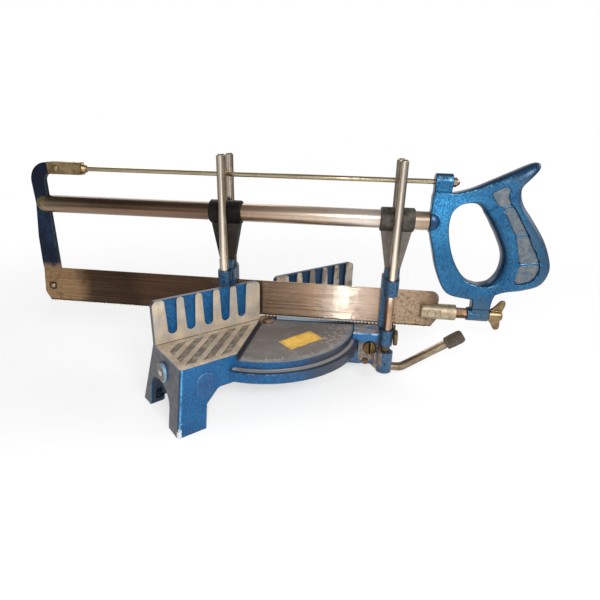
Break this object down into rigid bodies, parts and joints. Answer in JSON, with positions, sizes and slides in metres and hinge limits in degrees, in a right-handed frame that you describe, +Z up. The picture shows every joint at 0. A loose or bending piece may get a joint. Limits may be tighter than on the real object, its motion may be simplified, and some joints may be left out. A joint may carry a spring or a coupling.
{
  "type": "miter box with saw",
  "caption": "Swing-arm miter box: a framed hand saw slides in guides that rise on posts, and a lever locks the arm at angle notches under a slotted-fence table.",
  "frame": {"origin": "on the arm's pivot axis, in the plane of the feet, below the fence face", "axes": "+X along the fence to the right, +Y to the back, away from the user, +Z up"},
  "size_m": [0.4243, 0.4243, 0.2611],
  "materials": {
    "blue_paint": "hammer-finish enamel, worn at the edges",
    "navy_paint": "dark hammer-finish enamel",
    "bare_alloy": "ground and tarnished",
    "tube_chrome": "plated, aged",
    "steel": "bright turned",
    "blade_steel": "brown patina",
    "zinc_plate": "yellowed zinc plate",
    "brass": "dull",
    "copper_bolt": "tarnished flat head",
    "pewter": "as turned",
    "black_plastic": "moulded",
    "grey_plastic": "moulded",
    "panel_alloy": "ribbed, worn",
    "rubber": "dull"
  },
  "bodies": {
    "base": {"base_casting": "blue_paint", "pivot_bolt": "copper_bolt", "pivot_washer": "steel", "pivot_nut": "steel", "end_screws": "bare_alloy"},
    "arm": {"swing_arm": "blue_paint", "pivot_bush": "brass", "post_front_near": "tube_chrome", "post_front_far": "tube_chrome", "post_rear_near": "tube_chrome", "post_rear_far": "tube_chrome", "post_screws": "steel", "rear_stops": "blue_paint", "rear_stop_screws": "steel", "lever_screw": "brass", "arm_screw": "steel", "pawl_spring": "steel"},
    "lever": {"lever_pawl": "bare_alloy", "lever_rod": "steel", "lever_tip": "rubber"},
    "near_stop": {"stop_near": "blue_paint"},
    "far_stop": {"stop_far": "blue_paint"},
    "near_thumbscrew": {"thumbscrew_near": "brass"},
    "far_thumbscrew": {"thumbscrew_far": "brass"},
    "front_guide": {"front_carriage": "blue_paint", "front_web": "grey_plastic", "front_sleeve": "black_plastic", "front_hold_screw": "steel"},
    "rear_guide": {"rear_carriage": "blue_paint", "rear_web": "grey_plastic", "rear_sleeve": "black_plastic", "rear_hold_screw": "steel"},
    "saw": {"spine_tube": "tube_chrome", "tube_plug": "bare_alloy", "end_arm": "navy_paint", "blade": "blade_steel", "blade_pin": "bare_alloy", "clevis": "zinc_plate", "clevis_rivet": "zinc_plate", "tension_rod": "zinc_plate", "rod_nut": "zinc_plate", "handle": "blue_paint", "grip_panels": "panel_alloy", "blade_block": "pewter", "block_pin": "bare_alloy", "tension_screw": "blade_steel"},
    "wing": {"wing_nut": "brass"}
  },
  "joints": [
    {"name": "arm_swing", "type": "hinge", "parent": "base", "child": "arm", "pos_m": [0, 0, 0.035], "axis": [0, 0, 1], "range_deg": [-90, 0]},
    {"name": "lever_press", "type": "hinge", "parent": "arm", "child": "lever", "pos_m": [0.08768, -0.08768, 0.0475], "axis": [0.7071, 0.7071, 0], "range_deg": [0, 8]},
    {"name": "near_stop_slide", "type": "slide", "parent": "arm", "child": "near_stop", "axis": [0, 0, 1], "range_m": [-0.0075, 0]},
    {"name": "far_stop_slide", "type": "slide", "parent": "arm", "child": "far_stop", "axis": [0, 0, 1], "range_m": [-0.0075, 0]},
    {"name": "near_thumbscrew_turn", "type": "hinge", "parent": "near_stop", "child": "near_thumbscrew", "pos_m": [0.08885, -0.11126, 0.0655], "axis": [0.7071, -0.7071, 0], "continuous": true},
    {"name": "far_thumbscrew_turn", "type": "hinge", "parent": "far_stop", "child": "far_thumbscrew", "pos_m": [0.11126, -0.08885, 0.0655], "axis": [0.7071, -0.7071, 0], "continuous": true},
    {"name": "front_lift", "type": "slide", "parent": "arm", "child": "front_guide", "axis": [0, 0, 1], "range_m": [0, 0.11]},
    {"name": "rear_lift", "type": "slide", "parent": "arm", "child": "rear_guide", "axis": [0, 0, 1], "range_m": [0, 0.11]},
    {"name": "saw_stroke", "type": "slide", "parent": "front_guide", "child": "saw", "axis": [0.7071, -0.7071, 0], "range_m": [-0.013, 0.185]},
    {"name": "wing_turn", "type": "hinge", "parent": "saw", "child": "wing", "pos_m": [0.18385, -0.18385, 0.0954], "axis": [0.7071, -0.7071, 0], "continuous": true}
  ],
  "couplings": [
    {"joint": "rear_lift", "follows": "front_lift", "ratio": 1}
  ]
}
